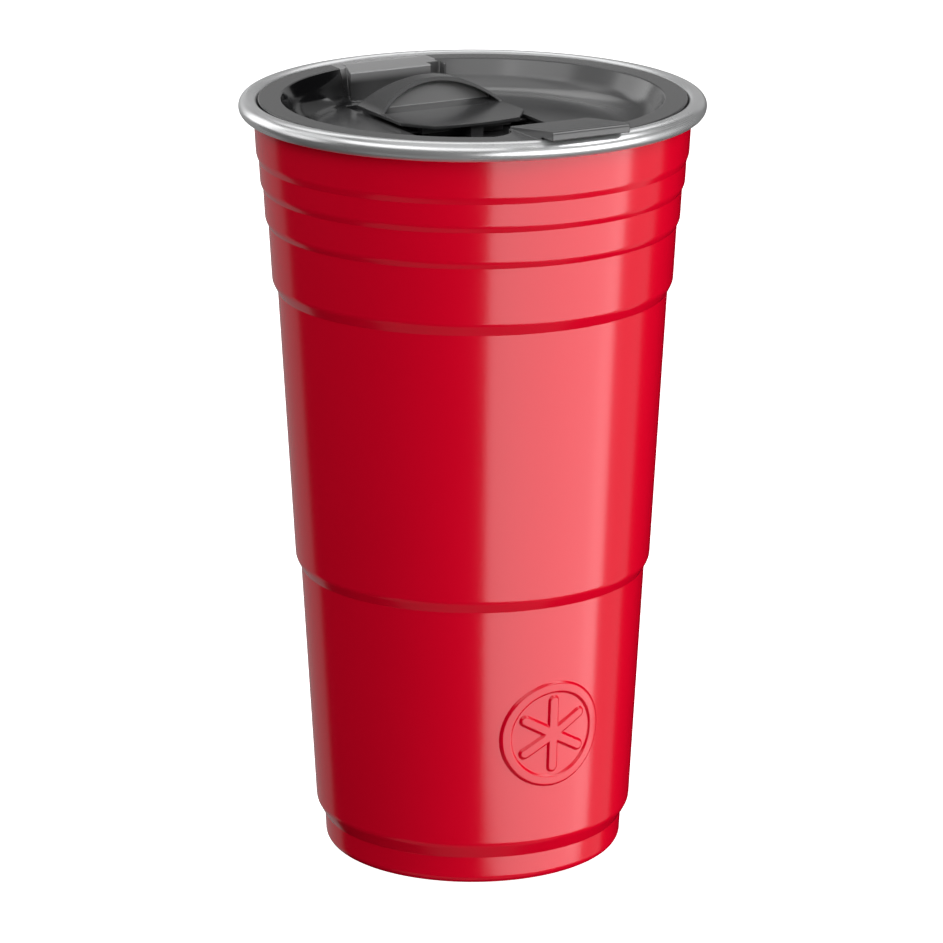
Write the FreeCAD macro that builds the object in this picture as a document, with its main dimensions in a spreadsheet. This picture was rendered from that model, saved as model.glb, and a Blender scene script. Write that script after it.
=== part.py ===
# Double-walled steel tumbler in the shape of a stepped party cup, with a press-in
# plastic lid and a sliding closure. Millimetres, +Z up, origin at the centre of the
# foot on the table. The drinking side, the lid's pull tab and the emblem face -Y.
import FreeCAD, Part
import math
import os
import re
import Sketcher
from FreeCAD import Rotation, Vector

doc = FreeCAD.newDocument("party_tumbler")
dims = doc.addObject("Spreadsheet::Sheet", "dims")

# Driving dimensions: name, value, what it measures
SIZES = [
    ("sheet_wall", 0.6, "thickness of the steel sheet"),
    ("weld_gap", 0.05, "room left between steel pieces that are welded together"),
    ("wall_taper", 0.055, "outward lean of the shell, radius gained for each unit of height"),
    ("base_radius", 33.65, "outer radius of the shell at the table"),
    ("base_round", 2.2, "rounding under the foot"),
    ("foot_height", 6.64, "height of the foot below the first step"),
    ("step_a_rise", 3.32, "height of the first step, counted from the foot"),
    ("step_a_jump", 1.66, "radius gained at the first step"),
    ("band_a_height", 55.76, "lower body"),
    ("step_b_rise", 2.36, "second step"),
    ("step_b_jump", 1.07, "radius gained at the second step"),
    ("band_b_height", 61.67, "upper body"),
    ("step_c_rise", 2.45, "third step"),
    ("step_c_jump", 1.1, "radius gained at the third step"),
    ("band_c_height", 12.77, "tall grip band"),
    ("step_d_rise", 1.33, "fourth step"),
    ("step_d_jump", 0.63, "radius gained at the fourth step"),
    ("band_d_height", 6.82, "middle grip band"),
    ("step_e_rise", 1.35, "fifth step"),
    ("step_e_jump", 0.55, "radius gained at the fifth step"),
    ("band_e_height", 5.03, "short grip band"),
    ("step_f_rise", 1.55, "sixth step"),
    ("step_f_jump", 0.49, "radius gained at the sixth step"),
    ("band_f_height", 8.67, "collar up to the rolled rim"),
    ("step_round", 3.2, "rounding where a step turns up into the band above it"),
    ("crease_round", 0.4, "rounding where a step meets the band below it"),
    ("rim_tube_radius", 2.15, "half the height of the rolled rim"),
    ("rim_reach", 3.31, "from the shell's top edge out to the rim's outside"),
    ("rim_drop", 0.35, "how far the shell's top edge stands above the rim's underside"),
    ("throat_gap", 0.2, "room between the shell's top edge and the liner inside it"),
    ("liner_floor", 12.5, "height of the inside floor"),
    ("liner_inset", 1.45, "how far the inside wall's foot lies inside the foot's radius"),
    ("liner_base_round", 5.0, "rounding between inside floor and wall"),
    ("liner_taper", 0.0746, "lean of the inside wall"),
    ("shoulder_drop", 13.2, "from the shell's top edge down to the top of the inside shoulder"),
    ("shoulder_height", 3.2, "height of the inside shoulder"),
    ("shoulder_round", 1.0, "rounding of the inside shoulder"),
    ("mouth_inset", 3.085, "from the shell's top radius in to the mouth's wall"),
    ("mouth_taper", 0.045, "lean of the mouth's wall"),
    ("mouth_height", 9.2, "height of the mouth's straight wall"),
    ("foot_turn", 3.75, "width of the foot that is turned in"),
    ("base_plate_rise", 2.0, "height of the base plate above the table"),
    ("base_plate_lip", 0.3, "height of the base plate's lip above the table"),
    ("seal_dimple_radius", 5.0, "dimple round the evacuation hole"),
    ("seal_dimple_depth", 0.9, "depth of that dimple"),
    ("seal_radius", 2.6, "bead that closes the evacuation hole"),
    ("seal_height", 1.0, "height of that bead"),
    ("seal_crown_radius", 1.6, "flat at the bead's low end"),
    ("seal_foot_height", 0.6, "height of the bead's straight side"),
    ("getter_radius", 8.0, "gas-absorbing pad under the inside floor"),
    ("getter_height", 1.2, "height of that pad"),
    ("emblem_height", 35.6, "height of the emblem's centre"),
    ("emblem_radius", 12.2, "outer radius of the emblem's ring"),
    ("emblem_stroke", 2.3, "width of the emblem's ring and bars"),
    ("emblem_bar_reach", 7.8, "from the emblem's centre to the end of a bar"),
    ("emblem_bar_bend", 1.4, "radius of a bar's end"),
    ("emblem_relief", 0.5, "how far the emblem stands out"),
    ("lid_rim_gap", 0.0, "from the lid's edge out to the rim's narrowest circle"),
    ("lid_flange_edge", 0.6, "thickness of the lid's outer edge"),
    ("lid_sink", 0.45, "how far the lid's top lies below the rim's top"),
    ("lid_wall", 1.9, "thickness of the dish's wall at the border"),
    ("lid_depth", 6.7, "depth of the dish below the border"),
    ("lid_wall_lean", 1.2, "how far the dish's wall comes in on its way down"),
    ("lid_dish_round", 5.4, "rounding between the dish's wall and floor"),
    ("lid_floor_wall", 1.8, "thickness of the lid's floors"),
    ("lid_plug_gap", 1.0, "room between the plug wall and the mouth"),
    ("lid_plug_wall", 2.0, "thickness of the plug wall below the floor"),
    ("lid_border_wall", 1.4, "thickness of the border beside the plug wall"),
    ("lid_edge_round", 0.45, "rounding of the border's inner edge"),
    ("gasket_height", 3.0, "height of the seal ring"),
    ("gasket_rise", 0.9, "height of the seal ring above the plug's lower edge"),
    ("gasket_seat", 0.8, "depth of the seal ring's groove"),
    ("gasket_lip", 1.0, "reach of the seal ring's lips past the plug wall"),
    ("gasket_lip_height", 0.8, "height of one lip"),
    ("gasket_lip_edge", 0.3, "thickness of a lip at its outer end"),
    ("gasket_waist", 0.2, "reach of the seal ring between its lips"),
    ("trough_half", 11.5, "half the width of the channel behind the slider"),
    ("trough_depth", 2.6, "depth of the slider's recess below the dish's floor"),
    ("trough_wall", 1.6, "thickness of the side walls under the dish"),
    ("ramp_wall", 1.0, "thickness of the plug wall behind the ramp, at the ramp's ends"),
    ("ramp_round", 7.5, "radius of the ramp's hollow"),
    ("ramp_crest", 2.0, "rounding of the ramp's crest"),
    ("recess_half", 15.8, "half the width of the slider's recess"),
    ("recess_back", 32.0, "from the lid's centre to the recess's back wall"),
    ("recess_end_gap", 1.4, "room in front of the closed slider"),
    ("recess_corner", 8.6, "length of the recess's cut corners along the lid"),
    ("recess_corner_side", 4.7, "length of the recess's cut corners across the lid"),
    ("sip_half", 7.6, "half the width of the drinking hole"),
    ("sip_back", 4.5, "from the lid's centre to the hole's near edge"),
    ("sip_length", 13.5, "length of the hole"),
    ("sip_round", 3.0, "corner rounding of the hole"),
    ("rail_depth", 0.8, "depth of the grooves that hold the slider down"),
    ("rail_rib", 0.5, "thickness of the slider's guide ribs"),
    ("rail_play", 0.2, "room above and below the guide ribs"),
    ("slide_gap", 0.3, "room round the slider"),
    ("seal_gap", 0.15, "room between the slider's pad and the recess's floor"),
    ("slide_travel", 22.0, "distance from open to closed"),
    ("plate_front", 3.2, "middle of the slider's front edge, from the lid's centre"),
    ("plate_front_bow", 1.1, "how far the front edge bows out"),
    ("plate_corner", 6.6, "length of the plate's cut corners along the lid"),
    ("plate_edge", 1.05, "thickness of the slider's plate"),
    ("plate_back", 26.0, "back of the thumb hump, from the lid's centre"),
    ("thumb_face", 14.2, "foot of the hump's front, from the lid's centre"),
    ("thumb_height", 6.3, "height of the hump above the plate"),
    ("thumb_lean", 4.0, "how far the hump's front leans back"),
    ("thumb_back_lean", 3.8, "how far the hump's back leans forward"),
    ("thumb_rim", 0.9, "rim left round the thumb face"),
    ("thumb_sink", 0.8, "depth of the thumb face behind its rim, at the top"),
    ("thumb_step", 0.45, "rise of the plate towards the thumb face"),
    ("keel_front", 2.8, "front end of the keel, from the lid's centre"),
    ("post_half", 1.55, "half the width of the rib in front of the keel"),
    ("post_reach", 2.1, "front end of that rib, past the lid's centre"),
    ("pad_half", 9.4, "half the width of the slider's sealing pad"),
    ("pad_length", 16.2, "length of that pad"),
    ("pad_height", 1.05, "thickness of that pad"),
    ("tab_half", 9.4, "half the width of the pull tab"),
    ("tab_reach", 10.2, "from the plug wall's outside in to the tab's inner end"),
    ("tab_overhang", 1.0, "how far the tab stands out past the rim"),
    ("tab_over_rim", 0.35, "room between the tab and the rim below it"),
    ("tab_thickness", 2.2, "thickness of the tab over the rim"),
    ("tab_inner_height", 0.6, "height of the tab's inner end above the lid's border"),
    ("tab_inner_drop", 1.4, "depth of the tab's inner end below the lid's border"),
    ("tab_web", 4.6, "radius of the hollow webs beside the tab"),
    ("tab_web_rise", 4.1, "length of a web along the tab"),
    ("tab_web_overlap", 0.9, "how far a web runs into the tab"),
]
for row, (alias, value, note) in enumerate(SIZES, 1):
    dims.set(f"A{row}", alias)
    dims.set(f"B{row}", str(value))
    dims.setAlias(f"B{row}", alias)
    dims.set(f"C{row}", note)
doc.recompute()


def size(expression):
    """Value of an expression in the sheet's names."""
    return float(dims.evalExpression(expression))


def cell(expression):
    """The same expression as objects outside the sheet read it."""
    return re.sub(r"[a-z]+(?:_[a-z]+)+", lambda word: "dims." + word.group(0), expression)


def plus(*terms):
    """Sum of expressions."""
    return " + ".join(f"({term})" for term in terms)


def new_body(label):
    body = doc.addObject("PartDesign::Body", label)
    body.Label = label
    return body


def new_sketch(body, name, role, loops, height=None):
    """Closed outlines on one of the body's own origin planes.

    Each corner is (across, up) in the sheet's names. A corner with a third and fourth
    entry is reached by an arc of that radius, turning left (1) or right (-1).
    """
    sketch = body.newObject("Sketcher::SketchObject", name)
    plane = next(item for item in body.Origin.OriginFeatures if item.Role == role)
    sketch.AttachmentSupport = [(plane, "")]
    sketch.MapMode = "FlatFace"
    if height is not None:
        sketch.setExpression("AttachmentOffset.Base.z", cell(height))
    for corners in loops:
        add_loop(sketch, corners)
    doc.recompute()
    return sketch


def add_loop(sketch, corners):
    first = sketch.GeometryCount
    places = [Vector(size(corner[0]), size(corner[1]), 0) for corner in corners]
    ends = []
    for index, corner in enumerate(corners):
        start, stop = places[index - 1], places[index]
        if len(corner) == 2:
            sketch.addGeometry(Part.LineSegment(start, stop))
            ends.append((1, 2))
            continue
        radius, turn = size(corner[2]), corner[3]
        chord = stop - start
        away = Vector(-chord.y, chord.x, 0) * (turn / chord.Length)
        centre = (start + stop) * 0.5 + away * math.sqrt(radius**2 - chord.Length**2 / 4)
        begin, finish = (start, stop) if turn > 0 else (stop, start)
        circle = Part.Circle(centre, Vector(0, 0, 1), radius)
        angles = [math.atan2(point.y - centre.y, point.x - centre.x) for point in (begin, finish)]
        sketch.addGeometry(Part.ArcOfCircle(circle, angles[0], angles[1]))
        ends.append((1, 2) if turn > 0 else (2, 1))
        bend = sketch.addConstraint(
            Sketcher.Constraint("Radius", first + index, radius))
        sketch.setExpression(f"Constraints[{bend}]", cell(corner[2]))
    for index, corner in enumerate(corners):
        item = first + index
        after = first + (index + 1) % len(corners)
        follow = (index + 1) % len(corners)
        sketch.addConstraint(
            Sketcher.Constraint("Coincident", item, ends[index][1], after, ends[follow][0]))
        for kind, text in (("DistanceX", corner[0]), ("DistanceY", corner[1])):
            number = sketch.addConstraint(
                Sketcher.Constraint(kind, -1, 1, item, ends[index][1], size(text)))
            sketch.setExpression(f"Constraints[{number}]", cell(text))


def revolve(body, name, corners):
    """A turned solid: its half section is drawn with radius across and height up."""
    sketch = new_sketch(body, name + "_section", "XZ_Plane", [corners])
    turned = body.newObject("PartDesign::Revolution", name)
    turned.Profile = sketch
    turned.ReferenceAxis = (sketch, ["V_Axis"])
    turned.Angle = 360
    doc.recompute()
    return turned


def turn_off(body, name, corners):
    """Takes a turned ring of the given half section off the body."""
    before = body.Shape.Volume
    sketch = new_sketch(body, name + "_section", "XZ_Plane", [corners])
    ring = body.newObject("PartDesign::Groove", name)
    ring.Profile = sketch
    ring.ReferenceAxis = (sketch, ["V_Axis"])
    ring.Angle = 360
    doc.recompute()
    assert body.Shape.Volume < before - 1e-3, name + " takes nothing off"
    return ring


def pad(body, name, role, loops, length, height=None, both_ways=False, backwards=False):
    sketch = new_sketch(body, name + "_outline", role, loops, height)
    grown = body.newObject("PartDesign::Pad", name)
    grown.Profile = sketch
    grown.SideType = "Symmetric" if both_ways else "One side"
    grown.Reversed = backwards
    grown.setExpression("Length", cell(length))
    doc.recompute()
    return grown


def pocket(body, name, role, loops, length, height=None, both_ways=False, backwards=False):
    before = body.Shape.Volume
    sketch = new_sketch(body, name + "_outline", role, loops, height)
    cut = body.newObject("PartDesign::Pocket", name)
    cut.Profile = sketch
    cut.SideType = "Symmetric" if both_ways else "One side"
    cut.Reversed = backwards
    cut.setExpression("Length", cell(length))
    doc.recompute()
    assert body.Shape.Volume < before - 1e-3, name + " takes nothing off"
    return cut


def ring_edges(shape, places):
    """Names of the full circles round the Z axis at the given radii and heights."""
    names = []
    for number, edge in enumerate(shape.Edges, 1):
        if not isinstance(edge.Curve, Part.Circle) or not edge.Closed:
            continue
        centre, radius = edge.Curve.Center, edge.Curve.Radius
        if math.hypot(centre.x, centre.y) > 1e-4:
            continue
        if any(abs(radius - r) < 1e-3 and abs(centre.z - z) < 1e-3 for r, z in places):
            names.append(f"Edge{number}")
    return names


def round_edges(body, name, edges, radius):
    assert edges, name + " finds no edge"
    bare = body.Tip
    rounded = body.newObject("PartDesign::Fillet", name)
    rounded.Base = (bare, edges)
    rounded.setExpression("Radius", cell(radius))
    doc.recompute()
    return rounded


def rectangle(left, right, low, high):
    return [(left, low), (right, low), (right, high), (left, high)]


# Heights and radii of the shell, worked out from the foot upwards
STEPS = "abcdef"
levels = ["0", "foot_height"]
jumps = ["0", "0"]
for step in STEPS:
    levels.append(plus(levels[-1], f"step_{step}_rise"))
    jumps.append(plus(jumps[-1], f"step_{step}_jump"))
    levels.append(plus(levels[-1], f"band_{step}_height"))
    jumps.append(jumps[-1])
shell_radii = [plus("base_radius", f"wall_taper * ({z})", jump) for z, jump in zip(levels, jumps)]
shell_top = levels[-1]
shell_top_radius = shell_radii[-1]

# The rolled rim stands on the shell's top edge and sets the cup's height
rim_reach_radius = plus(shell_top_radius, "rim_reach")
rim_centre = f"{rim_reach_radius} - rim_tube_radius"
rim_level = f"{shell_top} - rim_drop + rim_tube_radius"
rim_top = f"{rim_level} + rim_tube_radius"
rim_inner = f"{rim_centre} - rim_tube_radius"
foot_ring_radius = "base_radius - foot_turn"
liner_base_radius = "base_radius - liner_inset"
mouth_radius = f"{shell_top_radius} - mouth_inset"


def make_outer_shell():
    """Drawn and stepped shell of sheet steel with a foot turned in under it."""
    body = new_body("outer_shell_turned")
    outside = list(zip(shell_radii, levels))
    inside = [(f"{radius} - sheet_wall", level) for radius, level in outside[1:]]
    section = [(foot_ring_radius, "0")] + outside + inside[::-1]
    section += [("base_radius - sheet_wall", "sheet_wall"), (foot_ring_radius, "sheet_wall")]
    revolve(body, "shell", section)
    corners = [(size(radius), size(level)) for radius, level in outside]
    round_edges(body, "foot_rounding", ring_edges(body.Shape, corners[:1]), "base_round")
    round_edges(body, "step_rounding", ring_edges(body.Shape, corners[2:-1:2]), "step_round")
    round_edges(body, "crease_rounding", ring_edges(body.Shape, corners[1:-1:2]), "crease_round")
    emblem = make_emblem()
    whole = doc.addObject("Part::MultiFuse", "outer_shell")
    whole.Label = "outer_shell"
    whole.Shapes = [body, emblem]
    return whole


def make_emblem():
    """Plain raised emblem of six bars in a ring, pressed out of the lower body."""
    lower, upper = levels[2], levels[3]
    low, high = shell_radii[2], shell_radii[3]
    skin = new_body("emblem_skin")
    revolve(skin, "emblem_layer", [
        (f"{low} - sheet_wall * 0.5", lower),
        (f"{low} + emblem_relief", lower),
        (f"{high} + emblem_relief", upper),
        (f"{high} - sheet_wall * 0.5", upper),
    ])
    stamp = new_body("emblem_stamp")
    outline = stamp.newObject("Sketcher::SketchObject", "emblem_ring_outline")
    plane = next(item for item in stamp.Origin.OriginFeatures if item.Role == "XZ_Plane")
    outline.AttachmentSupport = [(plane, "")]
    outline.MapMode = "FlatFace"
    for number, radius in enumerate(("emblem_radius", "emblem_radius - emblem_stroke")):
        centre = Vector(0, size("emblem_height"), 0)
        outline.addGeometry(Part.Circle(centre, Vector(0, 0, 1), size(radius)))
        bend = outline.addConstraint(Sketcher.Constraint("Radius", number, size(radius)))
        outline.setExpression(f"Constraints[{bend}]", cell(radius))
        outline.addConstraint(Sketcher.Constraint("PointOnObject", number, 3, -2))
        up = outline.addConstraint(
            Sketcher.Constraint("DistanceY", -1, 1, number, 3, size("emblem_height")))
        outline.setExpression(f"Constraints[{up}]", cell("emblem_height"))
    ring = stamp.newObject("PartDesign::Pad", "emblem_ring")
    ring.Profile = outline
    ring.setExpression("Length", cell("base_radius + emblem_radius * 2"))
    doc.recompute()
    pieces = [stamp]
    for number in range(3):
        bar = new_body(f"emblem_bar_{number + 1}")
        half = "emblem_stroke * 0.5"
        pad(bar, f"bar_{number + 1}", "XZ_Plane", [[
            (f"-({half})", "-(emblem_bar_reach)"),
            (half, "-(emblem_bar_reach)", "emblem_bar_bend", 1),
            (half, "emblem_bar_reach"),
            (f"-({half})", "emblem_bar_reach", "emblem_bar_bend", 1),
        ]], "base_radius + emblem_radius * 2")
        bar.setExpression("Placement.Base.z", cell("emblem_height"))
        bar.Placement.Rotation = Rotation(Vector(0, 1, 0), 60 * number)
        pieces.append(bar)
    drawing = doc.addObject("Part::MultiFuse", "emblem_drawing")
    drawing.Shapes = pieces
    emblem = doc.addObject("Part::MultiCommon", "emblem")
    emblem.Shapes = [skin, drawing]
    doc.recompute()
    return emblem


# Inside of the cup, from the floor up to the rim
shoulder_top = f"{shell_top} - shoulder_drop"
shoulder_foot = f"{shoulder_top} - shoulder_height"
cone_top_radius = f"{liner_base_radius} + liner_taper * ({shoulder_foot} - liner_floor)"
mouth_top = f"{shoulder_top} + mouth_height"
mouth_top_radius = f"{mouth_radius} + mouth_taper * mouth_height"
throat_level = f"{shell_top} - weld_gap"
throat_radius = f"{shell_top_radius} - sheet_wall * 2 - throat_gap"


def make_inner_liner():
    """Drinking vessel of bare steel, rolled over outwards into the round rim."""
    body = new_body("inner_liner")
    tube = "rim_tube_radius"
    bore = "rim_tube_radius - sheet_wall"
    slant = "sqrt(0.5)"  # a point of the roll half a right angle on
    revolve(body, "liner", [
        ("0", "liner_floor - sheet_wall"),
        (f"{liner_base_radius} + sheet_wall", "liner_floor - sheet_wall"),
        (f"{cone_top_radius} + sheet_wall", f"{shoulder_foot} - sheet_wall * 0.5"),
        (f"{mouth_radius} + sheet_wall", f"{shoulder_top} - sheet_wall * 0.5"),
        (f"{mouth_top_radius} + sheet_wall", mouth_top),
        (f"{throat_radius} + sheet_wall", throat_level),
        (f"{rim_inner} + sheet_wall", rim_level),
        (rim_centre, f"{rim_level} + ({bore})", bore, -1),
        (f"{rim_centre} + ({bore})", rim_level, bore, -1),
        (rim_centre, f"{rim_level} - ({bore})", bore, -1),
        (f"{rim_centre} - ({bore}) * {slant}", f"{rim_level} - ({bore}) * {slant}", bore, -1),
        (f"{rim_centre} - {tube} * {slant}", f"{rim_level} - {tube} * {slant}"),
        (rim_centre, f"{rim_level} - {tube}", tube, 1),
        (f"{rim_centre} + {tube}", rim_level, tube, 1),
        (rim_centre, f"{rim_level} + {tube}", tube, 1),
        (rim_inner, rim_level, tube, 1),
        (throat_radius, throat_level),
        (mouth_top_radius, mouth_top),
        (mouth_radius, shoulder_top),
        (cone_top_radius, shoulder_foot),
        (liner_base_radius, "liner_floor"),
        ("0", "liner_floor"),
    ])
    inner = [(size(liner_base_radius), size("liner_floor"))]
    outer = [(size(f"{liner_base_radius} + sheet_wall"), size("liner_floor - sheet_wall"))]
    round_edges(body, "floor_rounding", ring_edges(body.Shape, inner), "liner_base_round")
    round_edges(body, "floor_outside", ring_edges(body.Shape, outer), "liner_base_round + sheet_wall")
    shoulder = [
        (size(mouth_radius), size(shoulder_top)),
        (size(cone_top_radius), size(shoulder_foot)),
    ]
    round_edges(body, "shoulder_rounding", ring_edges(body.Shape, shoulder), "shoulder_round")
    return body


def make_base_plate():
    """Pressed disc welded inside the foot, with a dimple for the evacuation hole."""
    body = new_body("base_plate")
    edge = f"{foot_ring_radius} - weld_gap"
    under = "base_plate_rise"
    dimple = "base_plate_rise + seal_dimple_depth"
    revolve(body, "plate", [
        (f"{edge} - sheet_wall", "base_plate_lip"),
        (edge, "base_plate_lip"),
        (edge, f"{under} + sheet_wall"),
        ("seal_dimple_radius + sheet_wall", f"{under} + sheet_wall"),
        ("seal_dimple_radius", f"{dimple} + sheet_wall"),
        ("0", f"{dimple} + sheet_wall"),
        ("0", dimple),
        ("seal_dimple_radius - sheet_wall", dimple),
        ("seal_dimple_radius", under),
        (f"{edge} - sheet_wall", under),
    ])
    return body


def make_vacuum_seal():
    """Bead of solder that closes the evacuation hole in the dimple."""
    body = new_body("vacuum_seal")
    top = "base_plate_rise + seal_dimple_depth"
    revolve(body, "bead", [
        ("0", f"{top} - seal_height"),
        ("seal_crown_radius", f"{top} - seal_height"),
        ("seal_radius", f"{top} - seal_foot_height"),
        ("seal_radius", top),
        ("0", top),
    ])
    return body


def make_getter():
    """Pad under the inside floor that keeps the vacuum clean."""
    body = new_body("getter_pad")
    top = "liner_floor - sheet_wall"
    revolve(body, "getter", [
        ("0", f"{top} - getter_height"),
        ("getter_radius", f"{top} - getter_height"),
        ("getter_radius", top),
        ("0", top),
    ])
    return body


# Radii of the lid, from the cup's mouth inwards
plug_radius = f"{mouth_radius} - lid_plug_gap"
border_radius = f"{plug_radius} - lid_wall"
flange_radius = f"{rim_inner} - lid_rim_gap"
ramp_back = f"sqrt(({plug_radius})^2 - trough_half^2) - ramp_wall"
ramp_foot = f"{ramp_back} - ramp_round"
recess_front = "plate_front + slide_travel + recess_end_gap"
recess_side_end = f"{recess_front} - recess_corner"

# Levels of the lid, all counted down from the top of the rim
lid_top = f"{rim_top} - lid_sink"
dish_floor = f"{lid_top} - lid_depth"
dish_under = f"{dish_floor} - lid_floor_wall"
trough_floor = f"{dish_floor} - trough_depth"
trough_under = f"{trough_floor} - lid_floor_wall"
border_under = f"{lid_top} - lid_border_wall"
gasket_foot = f"{trough_under} + gasket_rise"
gasket_head = f"{gasket_foot} + gasket_height"
gasket_inner = f"{plug_radius} - gasket_seat"
ramp_top = f"{trough_floor} + ramp_round"
keel_under = f"{trough_floor} + seal_gap + pad_height"


def make_lid_body():
    """Moulded lid: dish, plug wall, flat border, slider recess, ramp and pull tab."""
    body = new_body("lid_body")
    dish_radius = f"{border_radius} - lid_wall_lean"
    revolve(body, "dish", [
        ("0", dish_under),
        (f"{plug_radius} - lid_plug_wall", dish_under),
        (f"{plug_radius} - lid_plug_wall", trough_under),
        (plug_radius, trough_under),
        (plug_radius, border_under),
        (flange_radius, f"{lid_top} - lid_flange_edge"),
        (flange_radius, lid_top),
        (border_radius, lid_top),
        (dish_radius, dish_floor),
        ("0", dish_floor),
    ])
    floor_ring = [(size(dish_radius), size(dish_floor))]
    round_edges(body, "dish_rounding", ring_edges(body.Shape, floor_ring), "lid_dish_round")
    border_ring = [(size(border_radius), size(lid_top))]
    round_edges(body, "border_rounding", ring_edges(body.Shape, border_ring), "lid_edge_round")
    side = "trough_half + trough_wall"
    depth = f"{dish_floor} - ({trough_under})"
    pad(body, "channel_box", "XY_Plane",
        [rectangle(f"-({side})", side, "0", f"{ramp_foot} + ramp_crest")], depth, trough_under)
    pad(body, "recess_box", "XY_Plane", [recess_outline("trough_wall")], depth, trough_under)
    past = f"{flange_radius} + lid_plug_wall"
    pocket(body, "channel", "XY_Plane",
           [rectangle("-(trough_half)", "trough_half", "recess_back - trough_wall", past)],
           f"{lid_top} - ({trough_floor}) + lid_depth", trough_floor, backwards=True)
    pad(body, "ramp", "YZ_Plane", [[
        (ramp_foot, trough_under),
        (ramp_foot, trough_floor),
        (ramp_back, ramp_top, "ramp_round", 1),
        (f"{ramp_back} + ramp_crest", f"{ramp_top} + ramp_crest", "ramp_crest", -1),
        (flange_radius, f"{lid_top} - lid_flange_edge * 0.5"),
        (flange_radius, f"{lid_top} - lid_flange_edge"),
        (f"{plug_radius} + lid_plug_wall", border_under),
        (f"{plug_radius} + lid_plug_wall", trough_under),
    ]], "trough_half * 2", both_ways=True)
    turn_off(body, "plug_turning", [
        (plug_radius, f"{trough_under} - lid_depth"),
        (f"{flange_radius} + lid_depth", f"{trough_under} - lid_depth"),
        (f"{flange_radius} + lid_depth", f"{lid_top} + lid_depth"),
        (flange_radius, f"{lid_top} + lid_depth"),
        (flange_radius, f"{lid_top} - lid_flange_edge"),
        (plug_radius, border_under),
    ])
    pocket(body, "recess", "XY_Plane", [recess_outline("0")],
           "trough_depth + lid_edge_round", trough_floor, backwards=True)
    sip_front = "sip_back + sip_length"
    pocket(body, "sip_hole", "XY_Plane", [[
        ("-(sip_half)", f"-({sip_front}) + sip_round"),
        ("-(sip_half) + sip_round", f"-({sip_front})", "sip_round", 1),
        ("sip_half - sip_round", f"-({sip_front})"),
        ("sip_half", f"-({sip_front}) + sip_round", "sip_round", 1),
        ("sip_half", "-(sip_back) - sip_round"),
        ("sip_half - sip_round", "-(sip_back)", "sip_round", 1),
        ("-(sip_half) + sip_round", "-(sip_back)"),
        ("-(sip_half)", "-(sip_back) - sip_round", "sip_round", 1),
    ]], "lid_floor_wall * 2", f"{trough_floor} + lid_floor_wall * 0.5")
    groove = "recess_half + rail_depth"
    pocket(body, "rails", "XZ_Plane", [
        rectangle(f"-({groove})", groove, f"{keel_under} - rail_play",
                  f"{keel_under} + rail_rib + rail_play"),
    ], f"recess_back + {recess_side_end}", "-(recess_back)", backwards=True)
    turn_off(body, "gasket_groove", [
        (gasket_inner, gasket_foot),
        (f"{plug_radius} + lid_plug_wall", gasket_foot),
        (f"{plug_radius} + lid_plug_wall", gasket_head),
        (gasket_inner, gasket_head),
    ])
    add_pull_tab(body)
    return body


def recess_outline(grow):
    """Recess for the slider's plate, its front corners cut off."""
    side = f"recess_half + ({grow})"
    front = f"{recess_front} + ({grow})"
    return [
        (f"-({side})", f"recess_back + ({grow})"),
        (f"-({side})", f"-({recess_side_end})"),
        (f"-({side}) + recess_corner_side", f"-({front})"),
        (f"{side} - recess_corner_side", f"-({front})"),
        (side, f"-({recess_side_end})"),
        (side, f"recess_back + ({grow})"),
    ]


def add_pull_tab(body):
    """Tab that runs from inside the dish, over the border and out over the rim."""
    over_rim = f"{rim_top} + tab_over_rim"
    tab_front = f"{rim_reach_radius} + tab_overhang"
    tab_back = f"{plug_radius} - tab_reach"
    pad(body, "tab", "YZ_Plane", [[
        (f"-({tab_front})", over_rim),
        (f"-({tab_front})", f"{over_rim} + tab_thickness"),
        (f"-({tab_back})", f"{lid_top} + tab_inner_height"),
        (f"-({tab_back})", f"{lid_top} - tab_inner_drop"),
        (f"-({border_radius})", f"{lid_top} - tab_inner_drop"),
        (f"-({flange_radius}) + lid_flange_edge", f"{lid_top} - lid_flange_edge * 0.5"),
        (f"-({flange_radius}) - lid_flange_edge", over_rim),
    ]], "tab_half * 2", both_ways=True)
    meet = f"sqrt(({border_radius})^2 - (tab_half + tab_web)^2)"
    webs = []
    for hand in (1, -1):
        inside = f"{hand} * (tab_half - tab_web_overlap)"
        outside = f"{hand} * (tab_half + tab_web)"
        webs.append([
            (inside, f"-({meet}) + tab_web_rise"),
            (inside, f"-({border_radius}) - lid_flange_edge"),
            (outside, f"-({meet}) - lid_flange_edge"),
            (outside, f"-({meet})"),
            (f"{hand} * tab_half", f"-({meet}) + tab_web_rise", "tab_web", -hand),
        ])
    pad(body, "tab_webs", "XY_Plane", webs, "tab_inner_drop", f"{lid_top} - tab_inner_drop")


def make_gasket():
    """Soft ring in the plug wall's groove, with two lips that reach the mouth."""
    body = new_body("lid_gasket")
    outer = f"{plug_radius} + gasket_lip"
    middle = f"({gasket_foot} + {gasket_head}) * 0.5"
    revolve(body, "gasket", [
        (gasket_inner, gasket_foot),
        (plug_radius, gasket_foot),
        (outer, f"{gasket_foot} + gasket_lip_height - gasket_lip_edge"),
        (outer, f"{gasket_foot} + gasket_lip_height"),
        (f"{plug_radius} + gasket_waist", middle),
        (outer, f"{gasket_head} - gasket_lip_edge"),
        (outer, gasket_head),
        (gasket_inner, gasket_head),
    ])
    return body


# Levels and widths of the slider, counted up from the dish and the recess
plate_under = f"{dish_floor} + slide_gap"
plate_top = f"{plate_under} + plate_edge"
thumb_top = f"{plate_top} + thumb_height"
plate_half = "recess_half - slide_gap"
keel_half = "trough_half - slide_gap"
keel_tail = "recess_back - slide_gap * 2"
plate_side_end = "-(plate_front) + plate_front_bow + plate_corner"


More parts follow.
